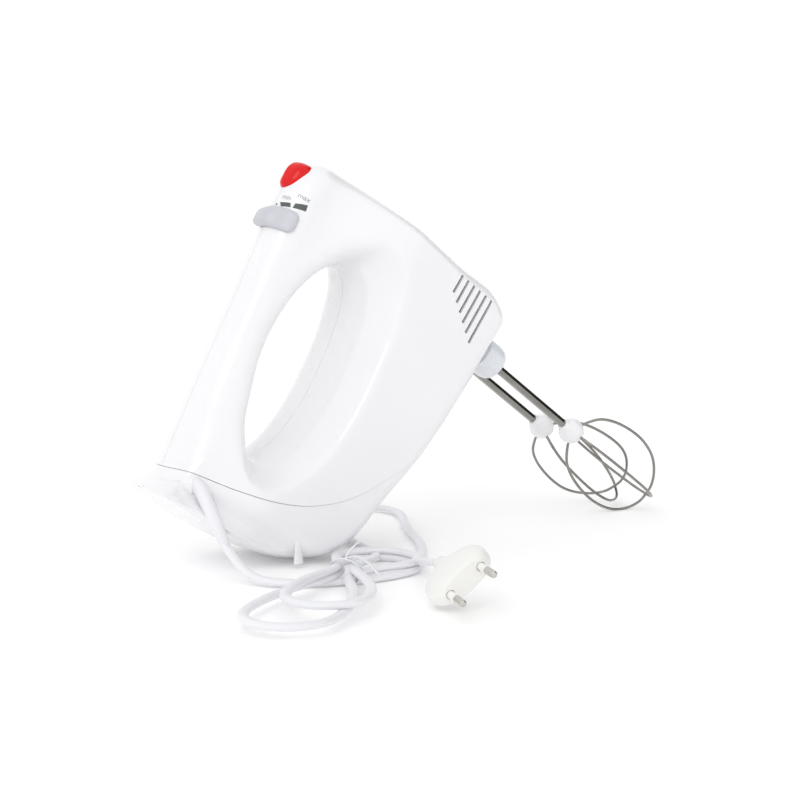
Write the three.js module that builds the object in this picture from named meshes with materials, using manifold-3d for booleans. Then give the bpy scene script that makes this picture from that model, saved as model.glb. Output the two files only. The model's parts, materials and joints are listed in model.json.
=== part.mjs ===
// Two-beater hand mixer: a white D-handled body leaning on its heel and on its whisks.
// The mixer is drawn upright in its own frame (x forward, z up to the handle, y across),
// then leaned as one group. Millimetres, +Z up.
import * as THREE from 'three';
import { mergeVertices } from 'three/addons/utils/BufferGeometryUtils.js';
import Module from 'manifold-3d';

const wasm = await Module();
wasm.setup();

// ---- driving dimensions ------------------------------------------------------------
const LEAN = 35.3;               // degrees that the beaters point below the horizontal
const PLACE = { x: -80.58, z: -1.38 };   // puts the leaned mixer on z = 0, centred on x = 0
const WALL = 2.5;                // shell thickness
const HANDLE_HALF_WIDTH = 17;
const BODY_HALF_WIDTH = 39;
const HEEL_FACE = -16.6;         // the flat face that the mixer stands on when parked upright
const SPINDLE = { x: 154, y: 14 };    // beater axes
const MOTOR_Z = 10;              // height of the motor shaft
const SEAM_GAP = 0.15;           // half of the gap along the housing seams
const WHEEL_TEETH = 11;          // one turn of the single-start worm moves one tooth
const WHISK = { top: -126, tip: -199, radius: 25, wire: 0.85, ball: -119.5, ballRadius: 7.2 };
const CORD_RADIUS = 2.7;
// The strain relief's path, then the cord where it is not coiled: down to the hank, and
// from the hank under the belly, round behind the mixer and back to the plug.
const BOOT_PATH = [[-150, -13, 60], [-152, -17, 49], [-149.5, -20.5, 38], [-147, -26, 28],
  [-145, -33.5, 18.5]];
const LEAD_PATH = [[-144.8, -34, 18], [-143.5, -39, 12], [-142, -46, 6.5], [-140.5, -54, 3.6],
  [-139, -61.5, 3.0]];
const TAIL_PATH = [[-58, -41, 3.0], [-53, -22, 3.0], [-47, 8, 3.0], [-38, 42, 3.0], [-24, 70, 3.0],
  [0, 82, 3.0], [19, 72, 3.0], [14, 46, 3.0], [2, 20, 3.0], [-9, -6, 3.0], [-20, -30, 3.0], [-32, -48, 3.0],
  [-46, -66, 3.6], [-59, -84, 7.0], [-68.6, -103, 12.0], [-73.8, -119.2, 14.9]];
const HANK = { height: 12.5, outline: [[-168, -66], [-184, -100], [-190, -150], [-178, -172], [-156, -166],
  [-116, -136], [-90, -106], [-52, -60], [-52, -46], [-66, -44.5], [-100, -46], [-136, -62]] };
const PLUG = { at: [-75, -123, 15.6], turn: -108, roll: 40, pinSpacing: 19 };

// Side view of the housing: point on the finger opening, point on the outer outline,
// edge radius at the opening, edge radius at the outline, inset of the inside.
const STATIONS = [
  [30, 70, 2, 101, 14, 13, 3], [40, 77, 18, 103.5, 14, 14, 3], [55, 82, 45, 108, 14, 14, 3],
  [75, 86, 75, 112, 14, 14, 3], [95, 87, 103, 116, 14, 15, 3], [112, 85, 128, 120, 14, 17, 3],
  [125, 81, 148, 122.5, 15, 17, 3], [133, 77, 168, 122.5, 17, 14, 3], [138, 73, 180, 115, 19, 12, 3.4],
  [140, 69, 184, 95, 20, 11, 3], [139, 65, 184.5, 60, 19, 11, 3], [135, 60.5, 184, 20, 16, 12, 3],
  [130, 58, 184.5, -8, 14, 12, 3], [122, 55, 175, -26, 13, 14, 3.6], [110, 52, 148, -28, 13, 16, 3],
  [95, 49.5, 110, -27, 12, 16, 3], [80, 48, 75, -23, 12, 15, 3], [65, 48, 45, -15.5, 12, 14, 3],
  [52, 49.5, 18, -9, 12, 12, 3], [42, 52, 1, 2, 12, 10, 3.4], [35, 55, -9, 17, 12, 8, 3.4],
  [30, 58, -14.5, 35, 13, 5, 4], [27, 61, -17.6, 58, 14, 4, 5], [26, 64, -18.4, 92, 14, 4, 6],
  [26.5, 66, -18.6, 105, 14, 4, 15], [28, 68, -8, 99.5, 14, 8, 7],
];

// ---- small helpers -----------------------------------------------------------------
const radians = THREE.MathUtils.degToRad;
const smooth = (t) => THREE.MathUtils.smoothstep(t, 0, 1);
const vec = (x, y, z) => new THREE.Vector3(x, y, z);

function plastic(colour, roughness = 0.3) {
  return new THREE.MeshStandardMaterial({ color: colour, roughness, metalness: 0 });
}
function metal(colour, roughness = 0.3) {
  return new THREE.MeshStandardMaterial({ color: colour, roughness, metalness: 1 });
}
const WHITE = plastic(0xf4f4f6, 0.2);
const GREY = plastic(0xcdcdd3, 0.35);
const RED = plastic(0xd81c1e, 0.2);
const STEEL = metal(0xb8b8b4, 0.3);
const COPPER = metal(0xb8683a, 0.4);
const IRON = metal(0x77797c, 0.5);
const NYLON = plastic(0xe9e6dc, 0.5);
const BLACK = plastic(0x222426, 0.6);

function toManifold(geometry) {
  const bare = geometry.clone();
  bare.deleteAttribute('normal');
  bare.deleteAttribute('uv');
  const merged = mergeVertices(bare, 1e-4);
  return new wasm.Manifold(new wasm.Mesh({
    numProp: 3,
    vertProperties: new Float32Array(merged.attributes.position.array),
    triVerts: new Uint32Array(merged.index.array),
  }));
}
function toGeometry(solid) {
  const mesh = solid.getMesh();
  const geometry = new THREE.BufferGeometry();
  geometry.setAttribute('position', new THREE.BufferAttribute(new Float32Array(mesh.vertProperties), 3));
  geometry.setIndex(new THREE.BufferAttribute(new Uint32Array(mesh.triVerts), 1));
  geometry.computeVertexNormals();
  return geometry;
}
function box(x0, x1, y0, y1, z0, z1) {
  const geometry = new THREE.BoxGeometry(x1 - x0, y1 - y0, z1 - z0);
  return geometry.translate((x0 + x1) / 2, (y0 + y1) / 2, (z0 + z1) / 2);
}
function cylinderX(radius, x0, x1, y, z, sides = 24) {
  const geometry = new THREE.CylinderGeometry(radius, radius, x1 - x0, sides);
  return geometry.rotateZ(-Math.PI / 2).translate((x0 + x1) / 2, y, z);
}
function cylinderY(radius, y0, y1, x, z, sides = 20) {
  return new THREE.CylinderGeometry(radius, radius, y1 - y0, sides).translate(x, (y0 + y1) / 2, z);
}
function cylinderZ(radius, z0, z1, x, y, sides = 24) {
  const geometry = new THREE.CylinderGeometry(radius, radius, z1 - z0, sides);
  return geometry.rotateX(Math.PI / 2).translate(x, y, (z0 + z1) / 2);
}
// A closed profile of (radius, height) points turned about the z axis.
function latheZ(profile, sides = 20) {
  const points = profile.map(([r, h]) => new THREE.Vector2(r, h));
  return new THREE.LatheGeometry(points, sides).rotateX(Math.PI / 2);
}
function ringX(inner, outer, x0, x1, z = MOTOR_Z, sides = 20) {
  const profile = [[inner, x0], [outer, x0], [outer, x1], [inner, x1], [inner, x0]];
  return latheZ(profile, sides).rotateY(Math.PI / 2).translate(0, 0, z);
}
// A side-view shape (x, z) extruded across the mixer from y0 to y1.
function slabY(points, y0, y1) {
  const shape = new THREE.Shape(points.map(([x, z]) => new THREE.Vector2(x, z)));
  const geometry = new THREE.ExtrudeGeometry(shape, { depth: y1 - y0, bevelEnabled: false });
  return geometry.rotateX(Math.PI / 2).translate(0, y1, 0);
}
// A plan shape (x, y) with optional holes, extruded upward from z0 to z1.
function slabZ(shape, z0, z1, curveSegments = 5) {
  const geometry = new THREE.ExtrudeGeometry(shape, { depth: z1 - z0, bevelEnabled: false, curveSegments });
  return geometry.translate(0, 0, z0);
}
// A tube along a path, with a section given by half sizes across and up.
function tube(points, halfWide, halfHigh, steps, sides = 10) {
  const section = new THREE.Shape();
  section.absellipse(0, 0, halfHigh, halfWide, 0, Math.PI * 2, false);
  const outline = new THREE.Shape(section.getSpacedPoints(sides).slice(0, sides));
  const path = new THREE.CatmullRomCurve3(points, false, 'centripetal');
  return new THREE.ExtrudeGeometry(outline, { steps, extrudePath: path, bevelEnabled: false });
}

// A round tube that narrows from one radius to another.
function taperedTube(places, radiusFrom, radiusTo, steps, sides) {
  const path = new THREE.CatmullRomCurve3(places.map(([x, y, z]) => vec(x, y, z)), false, 'centripetal');
  const frames = path.computeFrenetFrames(steps, false);
  const positions = [];
  const index = [];
  for (let i = 0; i <= steps; i += 1) {
    const centre = path.getPointAt(i / steps);
    const radius = THREE.MathUtils.lerp(radiusFrom, radiusTo, i / steps);
    for (let j = 0; j < sides; j += 1) {
      const angle = 2 * Math.PI * j / sides;
      const point = centre.clone().addScaledVector(frames.normals[i], radius * Math.cos(angle))
        .addScaledVector(frames.binormals[i], radius * Math.sin(angle));
      positions.push(point.x, point.y, point.z);
    }
  }
  const first = (steps + 1) * sides;
  positions.push(...path.getPointAt(0).toArray(), ...path.getPointAt(1).toArray());
  for (let j = 0; j < sides; j += 1) {
    const next = (j + 1) % sides;
    index.push(first, next, j, first + 1, steps * sides + j, steps * sides + next);
    for (let i = 0; i < steps; i += 1) {
      const a = i * sides;
      const b = a + sides;
      index.push(a + j, a + next, b + j, a + next, b + next, b + j);
    }
  }
  const geometry = new THREE.BufferGeometry();
  geometry.setAttribute('position', new THREE.Float32BufferAttribute(positions, 3));
  geometry.setIndex(index);
  return geometry;
}

const mixer = new THREE.Group();
mixer.rotation.y = -radians(90 - LEAN);
mixer.position.set(PLACE.x, 0, PLACE.z);
const group = new THREE.Group();
group.add(mixer);

function add(name, geometry, material, parent = mixer) {
  const mesh = new THREE.Mesh(geometry, material);
  mesh.name = name;
  parent.add(mesh);
  return mesh;
}

// ---- housing surface ---------------------------------------------------------------
function closedCurve(points) {
  return new THREE.CatmullRomCurve3(points.map(([x, z]) => vec(x, 0, z)), true, 'centripetal');
}
const openingCurve = closedCurve(STATIONS.map((s) => [s[0], s[1]]));
const outlineCurve = closedCurve(STATIONS.map((s) => [s[2], s[3]]));
const insideOpening = closedCurve(STATIONS.map((s) => shifted(s[0], s[1], s[2], s[3], WALL)));
const insideOutline = closedCurve(STATIONS.map((s) => shifted(s[2], s[3], s[0], s[1], s[6])));

function shifted(x, z, towardX, towardZ, distance) {
  const length = Math.hypot(towardX - x, towardZ - z);
  return [x + (towardX - x) * distance / length, z + (towardZ - z) * distance / length];
}
function stationValue(u, column) {
  const at = u * STATIONS.length;
  const low = Math.floor(at) % STATIONS.length;
  const next = (low + 1) % STATIONS.length;
  return THREE.MathUtils.lerp(STATIONS[low][column], STATIONS[next][column], at - Math.floor(at));
}
// Half width of the body before its edges are rounded: narrow handle, wide motor body,
// a waist for the wound cord and the flared foot behind it.
function fullHalfWidth(x, z) {
  const low = smooth((106 - z) / 56);
  const waist = 6 * Math.exp(-(((x + 7) / 6) ** 2)) * low;
  const foot = 8 * smooth((-x - 8) / 8) * (1 - low);
  return HANDLE_HALF_WIDTH + (BODY_HALF_WIDTH - HANDLE_HALF_WIDTH) * low - waist + foot;
}
function edge(distance, radius, power) {
  const t = Math.min(1, Math.max(0, distance / radius));
  return (1 - (1 - t) ** power) ** (1 / power);
}
function distanceTo(polyline, x, z) {
  let best = Infinity;
  for (let i = 0; i < polyline.length; i += 1) {
    const a = polyline[i];
    const b = polyline[(i + 1) % polyline.length];
    const dx = b.x - a.x;
    const dz = b.z - a.z;
    const t = THREE.MathUtils.clamp(((x - a.x) * dx + (z - a.z) * dz) / (dx * dx + dz * dz), 0, 1);
    best = Math.min(best, Math.hypot(x - a.x - t * dx, z - a.z - t * dz));
  }
  return best;
}
// The closed skin between an opening and an outline, `around` by `across` quads a side.
function skin(opening, outline, around, across, thinner) {
  const inner = opening.getPoints(STATIONS.length * 4).slice(0, -1);
  const outer = outline.getPoints(STATIONS.length * 4).slice(0, -1);
  const positions = [];
  const index = [];
  const rows = across * 2;
  for (let i = 0; i < around; i += 1) {
    const u = i / around;
    const a = opening.getPoint(u);
    const b = outline.getPoint(u);
    for (let j = 0; j < rows; j += 1) {
      const side = j <= across ? 1 : -1;
      const k = j <= across ? j : rows - j;
      const rho = (1 - Math.cos(Math.PI * k / across)) / 2;
      const x = THREE.MathUtils.lerp(a.x, b.x, rho);
      const z = THREE.MathUtils.lerp(a.z, b.z, rho);
      const power = 1.5 + 0.5 * smooth((z - 66) / 16);
      const fromOpening = edge(distanceTo(inner, x, z), stationValue(u, 4), power);
      const fromOutline = edge(distanceTo(outer, x, z), stationValue(u, 5), 2.1);
      const flat = k === 0 || k === across;
      const half = flat ? 0 : (fullHalfWidth(x, z) - thinner) * fromOpening * fromOutline;
      positions.push(x, side * half, z);
    }
  }
  for (let i = 0; i < around; i += 1) {
    for (let j = 0; j < rows; j += 1) {
      const p = i * rows + j;
      const q = i * rows + (j + 1) % rows;
      const r = ((i + 1) % around) * rows + j;
      const s = ((i + 1) % around) * rows + (j + 1) % rows;
      index.push(p, q, r, q, s, r);
    }
  }
  const geometry = new THREE.BufferGeometry();
  geometry.setAttribute('position', new THREE.Float32BufferAttribute(positions, 3));
  geometry.setIndex(index);
  return geometry;
}
function prism(shapePoints) {
  return toManifold(slabY(shapePoints, -70, 70));
}
function offsetBand(points, amount) {
  return points.map(([x, z], i) => {
    const a = points[Math.max(0, i - 1)];
    const b = points[Math.min(points.length - 1, i + 1)];
    const length = Math.hypot(b[0] - a[0], b[1] - a[1]);
    return [x - (b[1] - a[1]) / length * amount, z + (b[0] - a[0]) / length * amount];
  });
}
function joined(list) {
  return list.reduce((sum, next) => sum.add(next));
}
function largest(solid) {
  const pieces = solid.decompose();
  return pieces.sort((a, b) => b.volume() - a.volume())[0];
}
const outerSkin = toManifold(skin(openingCurve, outlineCurve, 64, 7, 0));
const innerSkin = toManifold(skin(insideOpening, insideOutline, 40, 4, WALL));
const shell = outerSkin.subtract(innerSkin);

// Curved parting line between the upper shells and the lower cover, from the handle's
// rear end down the tail and forward along the belly.
const SEAM = [[-30, 106], [-3, 103.5], [1, 95], [5, 72], [11, 50], [20, 31], [34, 14], [55, -1],
  [80, -13], [104, -19], [132, -20.5], [139, -23], [141, -40]];
const seamCurve = new THREE.SplineCurve(SEAM.slice(1, -1).map(([x, z]) => new THREE.Vector2(x, z)));
const seamLine = [SEAM[0], ...seamCurve.getPoints(22).map((p) => [p.x, p.y]), SEAM[SEAM.length - 1]];
const COVER_CORNERS = [[141, -60], [-60, -60], [-60, 106]];
const coverZone = prism([...offsetBand(seamLine, -SEAM_GAP), ...COVER_CORNERS]);
const upperCut = prism([...offsetBand(seamLine, SEAM_GAP), ...COVER_CORNERS]);

// Openings in the shells.
const ventCutters = [];
for (let i = 0; i < 6; i += 1) {
  const height = 21 - 5 * i;
  ventCutters.push(toManifold(box(162 - 3.4 * i, 173.5, -60, 60, height - 0.8, height + 0.8)));
}
const portCutter = [-SPINDLE.y, SPINDLE.y].map((y) =>
  toManifold(cylinderZ(9, -60, 0, SPINDLE.x, y)));
const buttonCutter = toManifold(box(154.5, 173, -8.3, 8.3, 100, 140));
const leverCutter = toManifold(box(138.5, 146.5, -16, 3, 108, 130));
const screwPlaces = [[14, 92], [154, 96], [172, -14], [31, 38]];
const postParts = screwPlaces.map(([x, z]) => toManifold(cylinderY(3.8, -32, 32, x, z)));
const holeParts = screwPlaces.map(([x, z]) => toManifold(cylinderY(1.9, -8, 80, x, z, 14)));
const headHoles = screwPlaces.map(([x, z]) => toManifold(cylinderY(3.5, 9, 80, x, z, 16)));
const solidInside = outerSkin.intersect(joined(postParts));

mixer.updateMatrixWorld(true);
const intoMixer = mixer.matrixWorld.clone().invert();
const channel = toManifold(taperedTube(BOOT_PATH, 5.9, 5.6, 16, 14).applyMatrix4(intoMixer));

const upper = shell.add(solidInside).subtract(upperCut).subtract(joined(holeParts))
  .subtract(joined(headHoles)).subtract(joined(ventCutters)).subtract(joined(portCutter))
  .subtract(buttonCutter).subtract(leverCutter).subtract(channel);
const leftZone = toManifold(box(-60, 220, SEAM_GAP, 70, -60, 140));
const rightZone = toManifold(box(-60, 220, -70, -SEAM_GAP, -60, 140));

add('housing_left', toGeometry(largest(upper.intersect(leftZone))), WHITE);
add('housing_right', toGeometry(largest(upper.intersect(rightZone))), WHITE);
const heelCut = toManifold(box(-60, HEEL_FACE, -70, 70, -60, 140));
const cover = shell.intersect(coverZone).subtract(channel).subtract(heelCut);
add('lower_cover', toGeometry(largest(cover)), WHITE);

// Screws enter from the left and bite in the right half.
screwPlaces.forEach(([x, z], i) => {
  const shank = toManifold(cylinderY(1.6, -7, 10, x, z, 14));
  const head = toManifold(cylinderY(3.1, 9.3, 11.3, x, z, 16));
  add(`housing_screw_${i + 1}`, toGeometry(shank.add(head)), STEEL);
});

// ---- port collar: an obround sleeve round both beater holes ------------------------------
function roundHole(x, y, radius, sides = 24) {
  const points = [];
  for (let i = 0; i < sides; i += 1) {
    const angle = -2 * Math.PI * i / sides;
    points.push(new THREE.Vector2(x + radius * Math.cos(angle), y + radius * Math.sin(angle)));
  }
  return new THREE.Path(points);
}
const collarTubes = [-SPINDLE.y, SPINDLE.y].map((y) => {
  const profile = [[5.2, -44.5], [8.6, -44.5], [10.2, -42.5], [10.8, -38], [10.8, -29.5], [5.2, -29.5],
    [5.2, -44.5]];
  const skirt = toManifold(latheZ(profile, 20).translate(SPINDLE.x, y, 0));
  const neck = latheZ([[5.2, -31], [8.6, -31], [8.6, -20], [5.2, -20], [5.2, -31]], 20);
  return skirt.add(toManifold(neck.translate(SPINDLE.x, y, 0)));
});
const collarBridge = toManifold(box(SPINDLE.x - 5, SPINDLE.x + 5, -5, 5, -40, -29.5));
add('port_collar', toGeometry(joined([...collarTubes, collarBridge])), GREY);

// ---- motor --------------------------------------------------------------------------
const SHAFT = { radius: 3, from: 28, to: 178, wormFrom: 143, wormTo: 165, wormTip: 4.1, pitch: 5 };
function motorShaft() {
  const sides = 10;
  const stops = [SHAFT.from, 60, 100, SHAFT.wormFrom - 1];
  const wormSteps = 20;
  for (let i = 0; i <= wormSteps; i += 1) {
    stops.push(THREE.MathUtils.lerp(SHAFT.wormFrom, SHAFT.wormTo, i / wormSteps));
  }
  stops.push(SHAFT.wormTo + 1, SHAFT.to);
  const positions = [SHAFT.from, 0, 0];
  stops.forEach((x) => {
    const threaded = x >= SHAFT.wormFrom && x <= SHAFT.wormTo;
    for (let j = 0; j < sides; j += 1) {
      const angle = 2 * Math.PI * j / sides;
      const wave = 0.5 + 0.5 * Math.cos(angle - 2 * Math.PI * x / SHAFT.pitch);
      const thread = (SHAFT.wormTip - SHAFT.radius + 0.3) * wave - 0.3;
      const radius = SHAFT.radius + (threaded ? thread : 0);
      positions.push(x, radius * Math.cos(angle), radius * Math.sin(angle));
    }
  });
  positions.push(SHAFT.to, 0, 0);
  const index = [];
  const last = positions.length / 3 - 1;
  for (let j = 0; j < sides; j += 1) {
    const next = (j + 1) % sides;
    index.push(0, 1 + next, 1 + j);
    for (let i = 0; i < stops.length - 1; i += 1) {
      const a = 1 + i * sides;
      const b = a + sides;
      index.push(a + j, a + next, b + j, a + next, b + next, b + j);
    }
    index.push(last, last - sides + j, last - sides + next);
  }
  const geometry = new THREE.BufferGeometry();
  geometry.setAttribute('position', new THREE.Float32BufferAttribute(positions, 3));
  geometry.setIndex(index);
  return geometry.translate(0, 0, MOTOR_Z);
}
const BORE = SHAFT.radius + 0.1;
add('motor_shaft_worm', motorShaft(), STEEL);
add('armature_core', ringX(BORE, 15, 62, 88), IRON);
add('armature_winding_front', ringX(BORE, 12.5, 88.3, 95), COPPER);
add('armature_winding_rear', ringX(BORE, 12.5, 54, 61.7), COPPER);
add('commutator', ringX(BORE, 8, 38, 48), COPPER);
const fanBlades = [toManifold(ringX(BORE, 6, 106, 115)), toManifold(ringX(5.5, 20, 106, 107.4))];
for (let i = 0; i < 9; i += 1) {
  const blade = box(107, 114, -0.6, 0.6, 5.5, 19.5).rotateX(2 * Math.PI * i / 9).translate(0, 0, MOTOR_Z);
  fanBlades.push(toManifold(blade));
}
add('cooling_fan', toGeometry(joined(fanBlades)), NYLON);

function plateShape(halfWide, halfHigh, corner) {
  const shape = new THREE.Shape();
  shape.moveTo(-halfWide + corner, -halfHigh);
  shape.lineTo(halfWide - corner, -halfHigh);
  shape.absarc(halfWide - corner, -halfHigh + corner, corner, -Math.PI / 2, 0, false);
  shape.absarc(halfWide - corner, halfHigh - corner, corner, 0, Math.PI / 2, false);
  shape.absarc(-halfWide + corner, halfHigh - corner, corner, Math.PI / 2, Math.PI, false);
  shape.absarc(-halfWide + corner, -halfHigh + corner, corner, Math.PI, 1.5 * Math.PI, false);
  return shape;
}
// A plate drawn across the motor axis: its shape is (y, z) about the shaft.
function plateX(shape, x0, x1, z = MOTOR_Z) {
  return slabZ(shape, x0, x1, 3).rotateY(Math.PI / 2).rotateX(Math.PI / 2).translate(0, 0, z);
}
const statorShape = plateShape(25, 20, 5);
statorShape.holes.push(roundHole(0, 0, 16));
const pockets = box(60, 90, -21, 21, -9, 9).translate(0, 0, MOTOR_Z);
const stator = toManifold(plateX(statorShape, 61, 89)).subtract(toManifold(pockets));
add('stator_core', toGeometry(stator), IRON);
const coilShape = new THREE.Shape([[49, -20.4], [103, -20.4], [103, 20.4], [49, 20.4]]
  .map(([x, y]) => new THREE.Vector2(x, y)));
coilShape.holes.push(new THREE.Path([[52.5, -16.6], [52.5, 16.6], [99.5, 16.6], [99.5, -16.6]]
  .map(([x, y]) => new THREE.Vector2(x, y))));
add('field_coil_upper', slabZ(coilShape, MOTOR_Z + 3.6, MOTOR_Z + 8.6), COPPER);
add('field_coil_lower', slabZ(coilShape, MOTOR_Z - 8.6, MOTOR_Z - 3.6), COPPER);

[['left', 1], ['right', -1]].forEach(([name, side]) => {
  const inner = side * 8.3;
  const outer = side * 17;
  add(`carbon_brush_${name}`,
    box(40.5, 45.5, Math.min(inner, outer), Math.max(inner, outer), MOTOR_Z - 2.5, MOTOR_Z + 2.5), BLACK);
  const holderShape = new THREE.Shape([[39, -4], [47, -4], [47, 4], [39, 4]]
    .map(([x, z]) => new THREE.Vector2(x, z)));
  holderShape.holes.push(new THREE.Path([[40.1, -3.0], [40.1, 3.0], [45.9, 3.0], [45.9, -3.0]]
    .map(([x, z]) => new THREE.Vector2(x, z))));
  const holder = new THREE.ExtrudeGeometry(holderShape, { depth: 11, bevelEnabled: false });
  holder.rotateX(Math.PI / 2).translate(0, side > 0 ? 22.5 : -11.5, MOTOR_Z);
  add(`brush_holder_${name}`, holder, COPPER);
});

// ---- motor bracket, gearbox frame and bearings ----------------------------------------
const rearPlate = plateShape(17, 14, 4);
rearPlate.holes.push(roundHole(0, 0, 7.3));
add('motor_rear_bracket', plateX(rearPlate, 31, 35), NYLON);
add('bearing_rear', ringX(BORE, 7, 31, 35), STEEL);
const wallShape = plateShape(26, 16, 4);
wallShape.holes.push(roundHole(0, 0, 7.3));
const bores = [-SPINDLE.y, SPINDLE.y].map((y) => toManifold(cylinderZ(7.3, -40, 60, SPINDLE.x, y, 22)));
const frontWall = toManifold(plateX(wallShape, 171, 175, MOTOR_Z));
const rearWall = toManifold(plateX(wallShape, 126, 130, MOTOR_Z));
const floor = toManifold(box(128, 173, -25, 25, MOTOR_Z - 15.9, MOTOR_Z - 11.5));
add('gearbox_frame', toGeometry(joined([frontWall, rearWall, floor]).subtract(joined(bores))), NYLON);
add('bearing_middle', ringX(BORE, 7, 126, 130), STEEL);
add('bearing_front', ringX(BORE, 7, 171, 175), STEEL);

// ---- spindles, worm wheels and beaters --------------------------------------------------
function wheelShape(teeth, root, tip, bore) {
  const points = [];
  for (let i = 0; i < teeth; i += 1) {
    [[-0.34, root], [-0.16, tip], [0.16, tip], [0.34, root]].forEach(([offset, radius]) => {
      const angle = 2 * Math.PI * (i + offset) / teeth;
      points.push(new THREE.Vector2(radius * Math.cos(angle), radius * Math.sin(angle)));
    });
  }
  const shape = new THREE.Shape(points);
  shape.holes.push(roundHole(0, 0, bore));
  return shape;
}
function wireLoop(turn, tip) {
  const widest = WHISK.radius;
  const half = [[5.6, WHISK.top + 3.4], [0.4 * widest, WHISK.top + 0.6], [0.68 * widest, WHISK.top - 6],
    [0.88 * widest, WHISK.top - 17], [widest, WHISK.top - 35], [0.97 * widest, WHISK.top - 48],
    [0.82 * widest, WHISK.top - 59.5], [0.52 * widest, WHISK.top - 68.5], [0.24 * widest, WHISK.top - 72.4]];
  const other = half.slice().reverse().map(([r, z]) => [-r, z]);
  const points = [...half, [0, tip], ...other].map(([r, z]) => vec(r, 0, z));
  return tube(points, WHISK.wire, WHISK.wire, 30, 5).rotateZ(radians(turn));
}
[['left', 1, 45], ['right', -1, -15]].forEach(([name, side, turn]) => {
  const y = side * SPINDLE.y;
  const station = new THREE.Group();
  station.position.set(SPINDLE.x, y, 0);
  mixer.add(station);
  const spindle = [[0, 24], [4.4, 24], [4.4, -33], [3.2, -33], [3.2, 19], [0, 19]];
  add(`spindle_${name}`, latheZ(spindle.slice().reverse(), 20), STEEL, station);
  const wheel = slabZ(wheelShape(WHEEL_TEETH, 7.8, 9.5, 4.5), MOTOR_Z - 4, MOTOR_Z + 4);
  add(`worm_wheel_${name}`, wheel, NYLON, station);
  add(`spindle_bush_${name}`, latheZ([[4.7, -5.9], [7, -5.9], [7, -1.5], [4.7, -1.5], [4.7, -5.9]], 22),
    COPPER, station);
  const shaft = new THREE.CylinderGeometry(2.6, 2.6, 18 - WHISK.ball - 7.4, 6);
  shaft.rotateX(Math.PI / 2).translate(0, 0, (18 + WHISK.ball + 7.4) / 2);
  add(`beater_shaft_${name}`, shaft, STEEL, station);
  const ball = new THREE.SphereGeometry(WHISK.ballRadius, 12, 8).rotateX(Math.PI / 2);
  ball.translate(0, 0, WHISK.ball);
  const wireHoles = [turn, turn + 90].map((angle) =>
    toManifold(box(3.9, 14, -1.2, 1.2, -140, WHISK.top + 4.8).rotateZ(radians(angle)))
      .add(toManifold(box(-14, -3.9, -1.2, 1.2, -140, WHISK.top + 4.8).rotateZ(radians(angle)))));
  add(`beater_ball_${name}`, toGeometry(toManifold(ball).subtract(joined(wireHoles))), WHITE, station);
  add(`wire_loop_a_${name}`, wireLoop(turn, WHISK.tip), STEEL, station);
  add(`wire_loop_b_${name}`, wireLoop(turn + 90, WHISK.tip + 2.2), STEEL, station);
});

// ---- speed selector: a saddle that turns round the handle's top -------------------------
const SADDLE = { x: 142.5, z: 104.6, slope: 5.5, inner: 18.6, outer: 20.4, half: 7.6, from: -61, to: 30 };
const selector = new THREE.Group();
selector.position.set(SADDLE.x, 0, SADDLE.z);
selector.rotation.y = -radians(SADDLE.slope);
mixer.add(selector);
function saddle() {
  const band = new THREE.Shape();
  const start = radians(90 - SADDLE.from);
  const end = radians(90 - SADDLE.to);
  band.absarc(0, 0, SADDLE.outer, end, start, false);
  band.absarc(0, 0, SADDLE.inner, start, end, true);
  const geometry = new THREE.ExtrudeGeometry(band,
    { depth: SADDLE.half * 2, bevelEnabled: false, curveSegments: 14 });
  // section (x across, y up) to the mixer's y and z; the extrusion runs along the handle
  return geometry.rotateX(Math.PI / 2).rotateZ(Math.PI / 2).translate(-SADDLE.half, 0, 0);
}
const lobe = new THREE.SphereGeometry(1, 12, 8).scale(5.6, 8.5, 4).translate(-4.6, -2.5, SADDLE.outer - 0.6);
const lobeTrim = toManifold(cylinderX(SADDLE.inner + 0.4, -20, 20, 0, 0, 40));
const thumb = toManifold(lobe.rotateX(radians(-8))).subtract(lobeTrim);
add('speed_selector', toGeometry(toManifold(saddle()).add(thumb)), GREY, selector);
add('selector_lever', box(-1.8, 1.8, -1.5, 1.5, 8, SADDLE.inner - 0.4), NYLON, selector);
add('switch_block', box(122, 148, -9, 9, 95, 105), BLACK);

// ---- eject button, plunger and spring -----------------------------------------------
const wedge = [[155, 114], [172.4, 114], [172.4, 127.5], [170, 129.8], [166, 130.2], [155, 123.8]];
const wedgeShape = new THREE.Shape(wedge.map(([x, z]) => new THREE.Vector2(x, z)));
const wedgeGeometry = new THREE.ExtrudeGeometry(wedgeShape,
  { depth: 13, bevelThickness: 1.2, bevelSize: 0.5, bevelOffset: -0.5, bevelSegments: 2 });
wedgeGeometry.rotateX(Math.PI / 2).translate(0, 6.5, 0);
add('eject_button', wedgeGeometry, RED);
const PLUNGER = { x: 164, radius: 2.4 };
const stem = toManifold(cylinderZ(PLUNGER.radius, 44, 113.7, PLUNGER.x, 0, 14));
const fork = toManifold(box(SPINDLE.x - 3, PLUNGER.x + 3, -17, 17, 38, 44.5));
const collar = toManifold(cylinderZ(5, 81.6, 83.6, PLUNGER.x, 0, 16));
add('eject_plunger', toGeometry(stem.add(fork).add(collar)), NYLON);
const springPoints = [];
for (let i = 0; i <= 60; i += 1) {
  const angle = 2 * Math.PI * i / 10;
  springPoints.push(vec(PLUNGER.x + 4.2 * Math.cos(angle), 4.2 * Math.sin(angle), 60 + 16 * i / 60));
}
add('eject_spring', tube(springPoints, 0.5, 0.5, 40, 4), STEEL);
const rest = plateShape(12, 6, 3);
rest.holes.push(roundHole(0, 0, 3));
add('spring_seat', slabZ(rest, 56, 58.8).translate(PLUNGER.x, 0, 0), NYLON);

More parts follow.
